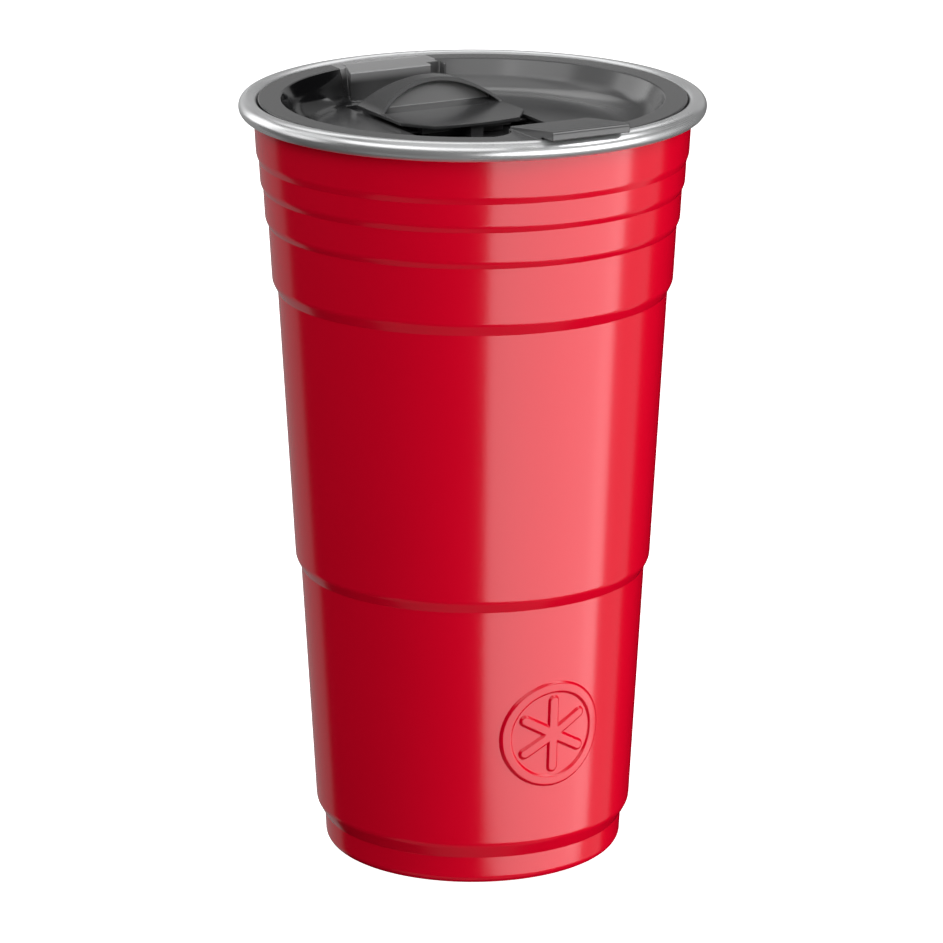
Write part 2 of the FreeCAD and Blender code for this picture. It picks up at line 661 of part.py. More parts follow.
def arch(half, rise, foot):
    """Segment of a circle on a low block that reaches down into the plate."""
    radius = f"(({half})^2 + ({rise})^2) / (2 * ({rise}))"
    return [
        (f"-({half})", f"({foot}) - plate_edge"),
        (half, f"({foot}) - plate_edge"),
        (half, foot),
        ("0", f"{foot} + ({rise})", radius, 1),
        (f"-({half})", foot, radius, 1),
    ]


def make_slider():
    """Closure with a thumb hump, a guided keel and a rib in front of the keel."""
    body = new_body("slider_block")
    corner = f"{plate_half} - recess_corner_side"
    front = "-(plate_front) + plate_front_bow"
    bow = f"(({corner})^2 + plate_front_bow^2) / (2 * plate_front_bow)"
    pad(body, "plate", "XY_Plane", [[
        (f"-({plate_half})", "plate_back"),
        (f"-({plate_half})", plate_side_end),
        (f"-({corner})", front),
        ("0", "-(plate_front)", bow, 1),
        (corner, front, bow, 1),
        (plate_half, plate_side_end),
        (plate_half, "plate_back"),
    ]], "plate_edge", plate_under)
    pad(body, "hump", "XZ_Plane", [arch(plate_half, "thumb_height", plate_top)],
        "plate_back - thumb_face", "-(plate_back)")
    clear = f"{thumb_top} + thumb_height"
    pocket(body, "hump_front", "YZ_Plane", [[
        ("thumb_face", plate_top),
        ("thumb_face + thumb_lean * 2", clear),
        ("thumb_face - plate_edge", clear),
        ("thumb_face - plate_edge", plate_top),
    ]], f"({plate_half}) * 2 + plate_edge", both_ways=True)
    pocket(body, "hump_back", "YZ_Plane", [[
        ("plate_back", plate_top),
        ("plate_back + plate_edge", plate_top),
        ("plate_back + plate_edge", clear),
        ("plate_back - thumb_back_lean * 2", clear),
    ]], f"({plate_half}) * 2 + plate_edge", both_ways=True)
    pad(body, "keel", "XY_Plane", [
        rectangle(f"-({keel_half})", keel_half, "keel_front", keel_tail),
    ], f"{plate_under} - ({keel_under})", keel_under)
    rib_half = "recess_half + rail_depth - slide_gap"
    pad(body, "guide_ribs", "XY_Plane", [
        rectangle(f"-({rib_half})", rib_half, plate_side_end, keel_tail),
    ], "rail_rib", keel_under)
    pad(body, "front_rib", "XY_Plane", [
        rectangle("-(post_half)", "post_half", "-(post_reach)", "keel_front"),
    ], f"{plate_under} - ({trough_floor}) - slide_gap", f"{trough_floor} + slide_gap")
    tool = new_body("thumb_arch")
    pad(tool, "thumb_arch_block", "XZ_Plane",
        [arch(f"{plate_half} - thumb_rim", "thumb_height - thumb_rim", plate_top)],
        "plate_back", "-(plate_back)")
    slab = new_body("thumb_slab")
    pad(slab, "thumb_slab_block", "YZ_Plane", [[
        ("thumb_face - plate_edge", plate_top),
        ("thumb_face", plate_top),
        ("thumb_face + thumb_lean", f"{plate_top} + thumb_step"),
        ("thumb_face + thumb_lean + thumb_sink", thumb_top),
        ("thumb_face - plate_edge", thumb_top),
    ]], f"({plate_half}) * 2", both_ways=True)
    hollow = doc.addObject("Part::MultiCommon", "thumb_hollow")
    hollow.Shapes = [tool, slab]
    slider = doc.addObject("Part::Cut", "slider")
    slider.Label = "slider"
    slider.Base = body
    slider.Tool = hollow
    doc.recompute()
    return slider


def make_slider_pad():
    """Soft pad under the keel that closes the drinking hole."""
    body = new_body("slider_seal")
    pad(body, "seal_pad", "XY_Plane", [
        rectangle("-(pad_half)", "pad_half", "keel_front + slide_gap", "keel_front + pad_length"),
    ], "pad_height", f"{trough_floor} + seal_gap")
    return body


pieces = {
    "outer_shell": make_outer_shell(),
    "inner_liner": make_inner_liner(),
    "base_plate": make_base_plate(),
    "vacuum_seal": make_vacuum_seal(),
    "getter_pad": make_getter(),
    "lid_body": make_lid_body(),
    "lid_gasket": make_gasket(),
    "slider": make_slider(),
    "slider_seal": make_slider_pad(),
}
doc.recompute()

for item in doc.Objects:
    assert "Invalid" not in item.State and "Error" not in item.State, item.Name + " failed"
for name, piece in pieces.items():
    shape = piece.Shape
    assert not shape.isNull() and shape.isValid(), name + " has no valid shape"
    print(f"{name}: {len(shape.Solids)} solid, {shape.Volume / 1000:.2f} cm3, {shape.BoundBox}")
print(f"rim top {size(rim_top):.2f}, rim radius {size(rim_reach_radius):.2f}")

os.makedirs("parts", exist_ok=True)
for name, piece in pieces.items():
    piece.Shape.exportStep(f"parts/{name}.step")
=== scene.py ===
import math
import bmesh
import bpy
from mathutils import Matrix, Vector


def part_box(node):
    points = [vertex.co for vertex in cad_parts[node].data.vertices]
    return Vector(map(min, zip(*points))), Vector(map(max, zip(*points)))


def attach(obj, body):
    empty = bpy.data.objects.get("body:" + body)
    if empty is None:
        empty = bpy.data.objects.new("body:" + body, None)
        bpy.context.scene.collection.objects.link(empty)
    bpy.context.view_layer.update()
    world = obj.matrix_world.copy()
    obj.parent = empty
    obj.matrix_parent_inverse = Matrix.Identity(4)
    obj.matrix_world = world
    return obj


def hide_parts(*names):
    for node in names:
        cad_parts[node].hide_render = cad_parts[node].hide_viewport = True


# Insulated party tumbler with its lid on and the slider pulled open.
# Lengths in the dictionaries are millimetres; the scene itself is in metres.

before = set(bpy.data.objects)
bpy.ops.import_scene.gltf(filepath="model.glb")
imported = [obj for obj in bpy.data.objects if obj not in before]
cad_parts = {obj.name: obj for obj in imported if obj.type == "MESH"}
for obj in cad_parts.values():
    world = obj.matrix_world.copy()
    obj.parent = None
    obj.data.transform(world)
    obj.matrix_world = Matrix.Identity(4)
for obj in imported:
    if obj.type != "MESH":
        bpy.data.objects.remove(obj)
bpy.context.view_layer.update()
mm = 0.001
over = 1.0    # how far a cutting tool reaches past what it cuts


def across(node):  # lowest and highest corner of a CAD node, in millimetres
    low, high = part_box(node)
    return low / mm, high / mm


rimTop = across("inner_liner")[1].z       # top of the rolled rim
rimRadius = across("inner_liner")[1].x    # its outermost reach
shellTop = across("outer_shell")[1].z     # upper edge of the red shell
linerUnder = across("inner_liner")[0].z   # underside of the inside floor
lidRadius = across("lid_body")[1].x       # outer edge of the lid's border
plugFoot = across("lid_body")[0].z        # lower edge of the wall that goes into the mouth
tabFront = -across("lid_body")[0].y       # outer end of the pull tab
tabTop = across("lid_body")[1].z
slideHalf = across("slider")[1].x         # how far the slider's guide ribs reach sideways


# Camera, as the photograph was taken

cameraView = {
    "turn": 28.5,        # degrees from the drinking side round to the camera
    "away": 1048.7,      # level distance to the cup's axis
    "height": 393.2,
    "pitch": 16.29,      # degrees below the horizon
    "lens": 184.6,
    "sensor": 36.0,
    "centreX": 472.62,   # where the camera's axis meets the picture, in pixels
    "centreY": 471.5,
    "picture": 943,
    "clip": (0.05, 50.0),    # nearest and farthest that it sees, in metres
}


def makeCamera():
    view = cameraView
    turn = math.radians(view["turn"])
    data = bpy.data.cameras.new("camera")
    data.sensor_width = view["sensor"]
    data.lens = view["lens"]
    data.shift_x = (view["picture"] / 2 - view["centreX"]) / view["picture"]
    data.shift_y = (view["centreY"] - view["picture"] / 2) / view["picture"]
    data.clip_start, data.clip_end = view["clip"]
    camera = bpy.data.objects.new("camera", data)
    camera.location = (
        -view["away"] * math.sin(turn) * mm,
        -view["away"] * math.cos(turn) * mm,
        view["height"] * mm,
    )
    camera.rotation_euler = (math.radians(90 - view["pitch"]), 0, -turn)
    bpy.context.scene.collection.objects.link(camera)
    bpy.context.scene.camera = camera
    print("camera set")


# Shader maths: a wrapped socket, so that sums of nodes read as Python

class Wire:
    def __init__(self, tree, socket):
        self.tree, self.socket = tree, socket

    def math(self, operation, other=None):
        return calculate(self.tree, operation, self, other)

    def __add__(self, other):
        return self.math("ADD", other)

    def __sub__(self, other):
        return self.math("SUBTRACT", other)

    def __rsub__(self, other):
        return calculate(self.tree, "SUBTRACT", other, self)

    def __mul__(self, other):
        return self.math("MULTIPLY", other)

    def __rtruediv__(self, other):
        return calculate(self.tree, "DIVIDE", other, self)

    def __pow__(self, power):
        return self.math("POWER", power)

    def __neg__(self):
        return self.math("MULTIPLY", -1.0)

    def __lt__(self, limit):
        return self.math("LESS_THAN", limit)

    def __gt__(self, limit):
        return self.math("GREATER_THAN", limit)


def calculate(tree, operation, first, second):
    return make(tree, "ShaderNodeMath", {"operation": operation}, {0: first, 1: second})


def plug(tree, slot, value):
    if isinstance(value, Wire):
        tree.links.new(value.socket, slot)
    elif value is not None:
        slot.default_value = value


def make(tree, kind, settings=None, values=None, out=0):
    node = tree.nodes.new(kind)
    for name, value in (settings or {}).items():
        setattr(node, name, value)
    for slot, value in (values or {}).items():
        plug(tree, node.inputs[slot], value)
    return Wire(tree, node.outputs[out])


def newFinish(name, constants):
    material = bpy.data.materials.new(name)
    material.use_nodes = True
    tree = material.node_tree
    shader = next(node for node in tree.nodes if node.type == "BSDF_PRINCIPLED")
    for slot, value in constants.items():
        shader.inputs[slot].default_value = value
    place = make(tree, "ShaderNodeTexCoord", out=3)  # Object coordinates
    return material, tree, shader, place


def noise(tree, place, scale, detail=2.0, roughness=0.5):
    values = {"Vector": place, "Scale": scale, "Detail": detail, "Roughness": roughness}
    return make(tree, "ShaderNodeTexNoise", {"normalize": True}, values)


def mixColours(tree, factor, first, second):  # each colour is three numbers or a wire
    first, second = (c if isinstance(c, Wire) else (*c, 1) for c in (first, second))
    return make(tree, "ShaderNodeMix", {"data_type": "RGBA"},
                {0: factor, 6: first, 7: second}, out=2)


def splitAxes(tree, vector):
    first = make(tree, "ShaderNodeSeparateXYZ", None, {0: vector})
    return [first] + [Wire(tree, first.socket.node.outputs[number]) for number in (1, 2)]


def zone(tree, value, edges):  # 0 before the first edge, 1 past the second
    return make(tree, "ShaderNodeMapRange", {"interpolation_type": "SMOOTHSTEP"},
                {0: value, 1: edges[0] * mm, 2: edges[1] * mm, 3: 0.0, 4: 1.0})


def roughen(tree, height, depth, distance, normal=None):
    return make(tree, "ShaderNodeBump", None,
                {"Strength": depth, "Distance": distance * mm, "Height": height, "Normal": normal})


def softEdges(tree, radius):  # rounds what is too small to model
    return make(tree, "ShaderNodeBevel", {"samples": 6}, {"Radius": radius * mm})


# Finishes

finishes = {
    "paint": {
        "shine": 0.5,
        "red": (0.7, 0.0008, 0.02),
        "deepRed": (0.66, 0.0007, 0.0175),
        "roughness": 0.17,
        "cloudScale": 28.0,      # slow change of shade over the coat
        "cloudGloss": 0.03,
        "speckScale": 2520.0,    # fine grain in the gloss
        "speckGloss": 0.02,
        "peelScale": 420.0,      # orange peel of the baked coat
        "peelDepth": 0.012,
        "peelHeight": 0.1,
    },
    "steel": {
        "bright": (0.71, 0.715, 0.72),
        "grey": (0.63, 0.635, 0.64),
        "metal": 0.7,
        "roughness": 0.28,
        "lineScale": 9000.0,     # turning marks
        "lineDepth": 0.005,
        "lineGloss": 0.03,       # their share in the roughness
    },
    "smoke": {
        "dark": (0.044, 0.044, 0.045),
        "light": (0.054, 0.054, 0.055),
        "paintedWallShade": (0.006, 0.006, 0.0065),   # painted shade on the dish's wall on the camera's left
        "clear": (0.095, 0.095, 0.096),    # painted light on the wall at the back
        "soft": (0.135, 0.135, 0.136),     # painted light on that wall's rounded foot
        "paintedRampLight": (0.26, 0.26, 0.262),       # painted light on the top of the ramp
        "wallZone": (34.5, 38.0),          # radii over which each of them sets in
        "footZone": (32.0, 35.0),
        "darkZone": (31.0, 37.0),
        "leftZone": (4.0, 16.0),           # distances to the left
        "backZone": (14.0, 34.0),          # distances behind the centre, for the wall
        "footBack": (-8.0, 14.0),          # and for its foot
        "rightZone": (0.0, 12.0),          # distances to the right
        "footTop": (168.4, 170.4),         # heights between which the painted light on the rounded foot ends
        "wallTop": (173.0, 173.2),         # heights between which the painted shade and painted light on the wall end
        "rampZone": (170.5, 172.6),        # heights between which the painted light on the ramp sets in
        "notchEdge": 0.3,                  # how far before its notch that ends
        "slack": 0.1,
        "wallGloss": 0.1,                  # how much smoother the wall with painted shade is
        "shine": 0.7,
        "roughness": 0.22,
        "grainScale": 900.0,
        "grainDepth": 0.02,
    },
    "slide": {
        "dark": (0.038, 0.038, 0.039),
        "light": (0.046, 0.046, 0.047),
        "face": (0.27, 0.27, 0.271),       # painted light on the hollow's upright face
        "frontMatt": 0.38,                 # how much rougher the hump's front is
        "frontDepth": 0.12,                # how far behind its plane the front counts,
        "frontFoot": 0.15,                 # and from how far above the plate
        "slack": 0.1,
        "shine": 0.7,
        "roughness": 0.22,
        "grainScale": 900.0,
        "grainDepth": 0.02,
    },
    "rubber": {
        "dark": (0.03, 0.03, 0.031),
        "light": (0.04, 0.04, 0.041),
        "shine": 0.3,
        "roughness": 0.55,
        "grainScale": 1500.0,
        "grainDepth": 0.05,
    },
    "dullSteel": {
        "bright": (0.38, 0.38, 0.39),
        "grey": (0.3, 0.3, 0.31),
        "metal": 1.0,
        "roughness": 0.42,
        "lineScale": 3000.0,
        "lineDepth": 0.08,
        "lineGloss": 0.1,
    },
}
turningMarks = {             # shared by both steels
    "stretch": 0.0004,       # metres along the line for each radian round the cup
    "mean": 0.45,            # of their noise
    "cloudScale": 60.0,
    "cloudGloss": 0.05,
    "height": 0.02,
}
mouldedPlastic = {           # shared by lid, slider and seals
    "cloudScale": 45.0,
    "cloudGloss": 0.04,
    "grainGloss": 0.05,
    "height": 0.05,
    "roundEdge": 0.35,
}


def paintFinish():
    look = finishes["paint"]
    material, tree, shader, place = newFinish("paint", {"Specular IOR Level": look["shine"]})
    cloud = noise(tree, place, look["cloudScale"])
    peel = noise(tree, place, look["peelScale"], detail=3.0)
    speck = noise(tree, place, look["speckScale"])
    cloudGloss, speckGloss = look["cloudGloss"], look["speckGloss"]
    level = look["roughness"] - (cloudGloss + speckGloss) / 2
    plug(tree, shader.inputs["Base Color"], mixColours(tree, cloud, look["deepRed"], look["red"]))
    plug(tree, shader.inputs["Roughness"], cloud * cloudGloss + speck * speckGloss + level)
    bump = roughen(tree, peel, look["peelDepth"], look["peelHeight"])
    plug(tree, shader.inputs["Normal"], bump)
    return material


def metalFinish(name):
    look = finishes[name]
    material, tree, shader, place = newFinish(name, {"Metallic": look["metal"]})
    x, y, z = splitAxes(tree, place)
    radius = (x * x + y * y) ** 0.5
    angle = y.math("ARCTAN2", x) * turningMarks["stretch"]
    spun = make(tree, "ShaderNodeCombineXYZ", None, {0: radius, 1: z, 2: angle})
    lines = noise(tree, spun, look["lineScale"], detail=4.0, roughness=0.6)
    cloud = noise(tree, place, turningMarks["cloudScale"])
    lineGloss, cloudGloss = look["lineGloss"], turningMarks["cloudGloss"]
    level = look["roughness"] - cloudGloss / 2 - lineGloss * turningMarks["mean"]
    plug(tree, shader.inputs["Base Color"], mixColours(tree, cloud, look["grey"], look["bright"]))
    plug(tree, shader.inputs["Roughness"], lines * lineGloss + cloud * cloudGloss + level)
    bump = roughen(tree, lines, look["lineDepth"], turningMarks["height"])
    plug(tree, shader.inputs["Normal"], bump)
    return material


def plasticFinish(name, edge=None):
    look, size = finishes[name], mouldedPlastic
    material, tree, shader, place = newFinish(name, {"Specular IOR Level": look["shine"]})
    cloud = noise(tree, place, size["cloudScale"])
    grain = noise(tree, place, look["grainScale"], detail=3.0)
    colour = mixColours(tree, cloud, look["dark"], look["light"])
    level = look["roughness"] - (size["grainGloss"] + size["cloudGloss"]) / 2
    roughness = grain * size["grainGloss"] + cloud * size["cloudGloss"] + level
    # painted shade and painted light on the dish's walls and the ramp's top
    if "paintedWallShade" in look:
        colour, dark = paintDishLight(tree, place, colour, look)
        roughness = roughness - dark * look["wallGloss"]
    # painted light on the slider's thumb face
    if "face" in look:
        colour, front = shadeHump(tree, place, colour, look)
        roughness = roughness + front * look["frontMatt"]
    plug(tree, shader.inputs["Base Color"], colour)
    plug(tree, shader.inputs["Roughness"], roughness)
    normal = softEdges(tree, edge) if edge else None
    bump = roughen(tree, grain, look["grainDepth"], size["height"], normal)
    plug(tree, shader.inputs["Normal"], bump)
    return material


def paintDishLight(tree, place, colour, look):  # painted shade on the smoked plastic's left wall, painted light on its back wall, that wall's foot and the ramp's top
    ramp, slack = rampSizes, look["slack"]
    x, y, z = splitAxes(tree, place)
    radius = (x * x + y * y) ** 0.5
    below = 1 - zone(tree, z, look["wallTop"])
    # painted shade on the left wall; painted light on the back wall, its foot and the ramp's top
    dark = zone(tree, radius, look["darkZone"]) * zone(tree, -x, look["leftZone"]) * below
    clear = zone(tree, radius, look["wallZone"]) * zone(tree, y, look["backZone"]) * below
    soft = zone(tree, radius, look["footZone"]) * zone(tree, y, look["footBack"])
    soft = soft * zone(tree, x, look["rightZone"]) * (1 - zone(tree, z, look["footTop"]))
    beside = x.math("ABSOLUTE") < (ramp["half"] - slack) * mm
    behind = y > (recessSizes["back"] - slack) * mm
    notched = x > (ramp["notchStart"] - look["notchEdge"]) * mm
    notched = notched * (y < (ramp["face"] + ramp["notch"] + slack) * mm)
    paintedRampLight = zone(tree, z, look["rampZone"]) * beside * behind * (1 - notched)
    # lays the painted light and painted shade over the plastic's own colour
    for share, name in ((clear, "clear"), (soft, "soft"), (dark, "paintedWallShade"), (paintedRampLight, "paintedRampLight")):
        colour = mixColours(tree, share, colour, look[name])
    return colour, dark


def shadeHump(tree, place, colour, look):  # painted light on the thumb face, matt front round it
    size, slack = slideSizes, look["slack"]
    x, y, z = splitAxes(tree, place)
    lean = size["lean"] / size["hump"]
    past = y - z * lean + (plateTop * lean - size["face"]) * mm
    front = (past < look["frontDepth"] * mm) * (z > (plateTop + look["frontFoot"]) * mm)
    start = size["face"] + size["lean"]
    radius, centre = archCircle(thumbHalf, thumbRise, plateTop)
    up = z - centre * mm
    inside = (x * x + up * up) ** 0.5 < (radius - slack / 2) * mm
    behind = y > (start - slack) * mm
    before = y < (start + size["sink"] + slack * 2) * mm
    above = z > (plateTop + size["step"] - slack / 2) * mm
    # painted light on the hollow's face
    colour = mixColours(tree, inside * behind * before * above, colour, look["face"])
    return colour, front


# Meshes

def roundedPath(corners, closed=True, step=9.0):  # corners are (across, up, rounding)
    points = []
    for index, corner in enumerate(corners):
        here = Vector(corner[:2])
        radius = corner[2] if len(corner) > 2 else 0
        isEnd = not closed and index in (0, len(corners) - 1)
        if radius <= 0 or isEnd:
            points.append(here)
            continue
        before = (Vector(corners[index - 1][:2]) - here).normalized()
        after = (Vector(corners[(index + 1) % len(corners)][:2]) - here).normalized()
        half = before.angle(after) / 2
        centre = here + (before + after).normalized() * (radius / math.sin(half))
        start = here + before * (radius / math.tan(half)) - centre
        stop = here + after * (radius / math.tan(half)) - centre
        turn = math.atan2(start.x * stop.y - start.y * stop.x, start.dot(stop))
        count = max(2, math.ceil(abs(math.degrees(turn)) / step))
        for number in range(count + 1):
            angle = turn * number / count
            points.append(centre + Vector((
                start.x * math.cos(angle) - start.y * math.sin(angle),
                start.x * math.sin(angle) + start.y * math.cos(angle),
            )))
    return points


def arc(centre, radius, start, stop, count):  # angles in degrees
    angles = [math.radians(start + (stop - start) * n / count) for n in range(count + 1)]
    return [Vector((centre[0] + radius * math.cos(a), centre[1] + radius * math.sin(a)))
            for a in angles]


def newPiece(name, mesh):
    piece = bpy.data.objects.new(name, mesh)
    bpy.context.scene.collection.objects.link(piece)
    return piece


def fromBmesh(name, shape):
    bmesh.ops.recalc_face_normals(shape, faces=shape.faces)
    mesh = bpy.data.meshes.new(name)
    shape.to_mesh(mesh)
    shape.free()
    return newPiece(name, mesh)


def lathe(name, section, turns):  # a closed section of (radius, height), turned
    shape = bmesh.new()
    columns = []
    for point in section:
        if point[0] < 1e-6:
            columns.append([shape.verts.new((0, 0, point[1]))])
            continue
        columns.append([
            shape.verts.new((point[0] * math.cos(a), point[0] * math.sin(a), point[1]))
            for a in (2 * math.pi * n / turns for n in range(turns))
        ])
    for index, column in enumerate(columns):
        other = columns[(index + 1) % len(columns)]
        if len(column) == 1 and len(other) == 1:
            continue
        for n in range(turns):
            m = (n + 1) % turns
            ring = [column[n % len(column)], other[n % len(other)],
                    other[m % len(other)], column[m % len(column)]]
            shape.faces.new(list(dict.fromkeys(ring)))
    return fromBmesh(name, shape)


def prism(name, outline, plane, low, high):  # an outline drawn out along the third axis
    place = {
        "XY": lambda p, depth: (p[0], p[1], depth),
        "XZ": lambda p, depth: (p[0], depth, p[1]),
        "YZ": lambda p, depth: (depth, p[0], p[1]),
    }[plane]
    shape = bmesh.new()
    ends = [[shape.verts.new(place(p, depth)) for p in outline] for depth in (low, high)]
    shape.faces.new(ends[0])
    shape.faces.new(ends[1])
    for n in range(len(outline)):
        m = (n + 1) % len(outline)
        shape.faces.new([ends[0][n], ends[0][m], ends[1][m], ends[1][n]])
    return fromBmesh(name, shape)


def settle(piece):  # puts the result of the modifiers into the mesh
    depsgraph = bpy.context.evaluated_depsgraph_get()
    mesh = bpy.data.meshes.new_from_object(piece.evaluated_get(depsgraph))
    piece.modifiers.clear()
    old, piece.data = piece.data, mesh
    bpy.data.meshes.remove(old)
    return piece


def combine(piece, tool, operation):
    modifier = piece.modifiers.new("join", "BOOLEAN")
    modifier.solver = "EXACT"
    modifier.operation = operation
    modifier.object = tool
    settle(piece)
    bpy.data.objects.remove(tool)
    return piece


def dress(piece, material, body, nodes=(), sharp=32.0):
    mesh = piece.data
    mesh.transform(Matrix.Scale(mm, 4))
    mesh.materials.clear()
    mesh.materials.append(material)
    mesh.shade_smooth()
    mesh.set_sharp_from_angle(angle=math.radians(sharp))
    weigh = piece.modifiers.new("weigh", "WEIGHTED_NORMAL")
    weigh.keep_sharp = True
    settle(piece)
    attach(piece, body)
    if nodes:
        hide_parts(*nodes)
    print(piece.name, len(piece.data.polygons), "faces")
    return piece


# Red shell

shellSizes = {
    "sheet": 0.6,
    "taper": 0.055,
    "baseRadius": 33.65,
    "baseRound": 2.2,
    "footTurn": 3.75,        # width of the turned-in foot
    "foot": 6.64,            # height at which the first step starts
    # rise and jump of each step, and the height of the band above it
    "steps": [
        (3.32, 1.66, 55.76),
        (2.36, 1.07, 61.67),
        (2.45, 1.1, 12.77),
        (1.33, 0.63, 6.82),
        (1.35, 0.55, 5.03),
        (1.55, 0.49, 8.67),
    ],
    "stepRound": 3.2,
    "creaseRound": 0.4,
    "turns": 384,
}


def shellCorners():  # outer corners from the foot up, as (radius, height, rounding)
    size = shellSizes
    height, jumps = size["foot"], 0.0
    corners = [(size["baseRadius"], 0.0, size["baseRound"])]

    def corner(rounding):
        corners.append((size["baseRadius"] + size["taper"] * height + jumps, height, rounding))

    corner(size["creaseRound"])
    for number, (rise, jump, band) in enumerate(size["steps"]):
        height += rise
        jumps += jump
        corner(size["stepRound"])
        height += band
        last = number == len(size["steps"]) - 1
        corner(0 if last else size["creaseRound"])
    return corners


def makeShell(material):
    size = shellSizes
    outside = shellCorners()
    inside = [(radius - size["sheet"], height) for radius, height, _ in outside[1:]]
    ring = size["baseRadius"] - size["footTurn"]
    section = [(ring, 0.0)] + outside + inside[::-1]
    section += [(size["baseRadius"] - size["sheet"], size["sheet"]), (ring, size["sheet"])]
    shell = lathe("redShell", roundedPath(section), size["turns"])
    return dress(shell, material, "cup", ["outer_shell"])


# Raised emblem low on the front: a fine grid, bent round the shell and lifted by its drawing

emblemSizes = {
    "Height": 35.6,
    "Radius": 12.2,
    "Stroke": 2.3,
    "Relief": 0.5,
    "Edge": 0.32,        # half the width of its sloped edge
    "Arms": 6,
    "Arm Reach": 7.8,
    "Cells": 164,
    "Sink": 0.03,        # how far its skirt lies in the shell
    "Skirt": 1.6,        # where that skirt ends, in half widths of the edge
    "Margin": 1.0,       # of the grid round the ring
}


def newTree(name, inputs):
    tree = bpy.data.node_groups.new(name, "GeometryNodeTree")
    sockets = {"Material": "NodeSocketMaterial"}
    for label, value in inputs.items():
        kind = "NodeSocketInt" if isinstance(value, int) else "NodeSocketFloat"
        tree.interface.new_socket(label, in_out="INPUT", socket_type=sockets.get(label, kind))
    tree.interface.new_socket("Geometry", in_out="OUTPUT", socket_type="NodeSocketGeometry")
    source = tree.nodes.new("NodeGroupInput")
    wires = {label: Wire(tree, source.outputs[label]) for label in inputs}
    return tree, wires


def grow(piece, tree, inputs):  # runs the tree and keeps its mesh
    modifier = piece.modifiers.new(tree.name, "NODES")
    modifier.node_group = tree
    for item in tree.interface.items_tree:
        if item.in_out == "INPUT":
            modifier[item.identifier] = inputs[item.name]
    return settle(piece)


def emblemTree(inputs):
    tree, value = newTree("pressedEmblem", inputs)
    x, up = splitAxes(tree, make(tree, "GeometryNodeInputPosition"))[:2]
    away = (x * x + up * up) ** 0.5
    half = value["Stroke"] * 0.5
    ring = half - (away - (value["Radius"] - half)).math("ABSOLUTE")
    pitch = 2 * math.pi / value["Arms"]
    angle = x.math("ARCTAN2", up) + pitch * 0.5
    folded = angle.math("FLOORED_MODULO", pitch) - pitch * 0.5
    past = (away * folded.math("COSINE") - value["Arm Reach"]).math("MAXIMUM", 0.0)
    beside = away * folded.math("SINE")
    inside = ring.math("MAXIMUM", half - (beside * beside + past * past) ** 0.5)
    share = make(tree, "ShaderNodeMapRange", {"interpolation_type": "SMOOTHSTEP"},
                 {0: inside, 1: -value["Edge"], 2: value["Edge"], 3: 0.0, 4: 1.0})
    out = value["Shell Radius"] + up * value["Taper"] + share * (value["Relief"] + value["Sink"])
    out = out - value["Sink"]
    deep = -((out * out - x * x) ** 0.5)
    side = (value["Radius"] + value["Margin"]) * 2.0
    grid = make(tree, "GeometryNodeMeshGrid", None,
                {0: side, 1: side, 2: value["Cells"], 3: value["Cells"]})
    outside = inside < -(value["Edge"] * value["Skirt"])
    kept = make(tree, "GeometryNodeDeleteGeometry", {"domain": "POINT"}, {0: grid, 1: outside})
    bent = make(tree, "ShaderNodeCombineXYZ", None, {0: x, 1: deep, 2: up + value["Height"]})
    moved = make(tree, "GeometryNodeSetPosition", None, {0: kept, "Position": bent})
    real = make(tree, "GeometryNodeRealizeInstances", None, {0: moved})
    done = make(tree, "GeometryNodeSetMaterial", None, {0: real, "Material": value["Material"]})
    plug(tree, tree.nodes.new("NodeGroupOutput").inputs[0], done)
    return tree


def makeEmblem(material):
    size = shellSizes
    foot = shellCorners()[2]
    inputs = dict(emblemSizes)
    inputs["Taper"] = size["taper"]
    inputs["Shell Radius"] = foot[0] + size["taper"] * (inputs["Height"] - foot[1])
    inputs["Material"] = material
    emblem = newPiece("raisedEmblem", bpy.data.meshes.new("emblem"))
    grow(emblem, emblemTree(inputs), inputs)
    wall = emblem.modifiers.new("wall", "SOLIDIFY")
    wall.thickness = size["sheet"] / 2
    wall.offset = -1
    settle(emblem)
    return dress(emblem, material, "cup", sharp=80.0)


# Inner vessel with the rolled rim

linerSizes = {
    "sheet": 0.6,
    "baseRadius": 32.2,
    "baseRound": 5.0,
    "taper": 0.0746,
    "shoulderDrop": 13.2,    # where the mouth widens for the lid's plug
    "shoulderHeight": 3.2,
    "shoulderRound": 1.2,
    "mouthRadius": 45.4,
    "mouthTaper": 0.045,
    "mouthHeight": 9.2,
    "mouthRounds": (1.0, 1.5),     # on the outside and on the inside
    "throatDrop": 0.05,
    "throatInset": 1.4,
    "throatRounds": (0.5, 1.0),
    "tube": 2.15,            # half the height of the rolled rim
    "curlEnd": -135,         # direction in which its curled edge ends, in degrees
    "curlFacets": (36, 44),  # inside and outside of the roll
    "turns": 360,
}


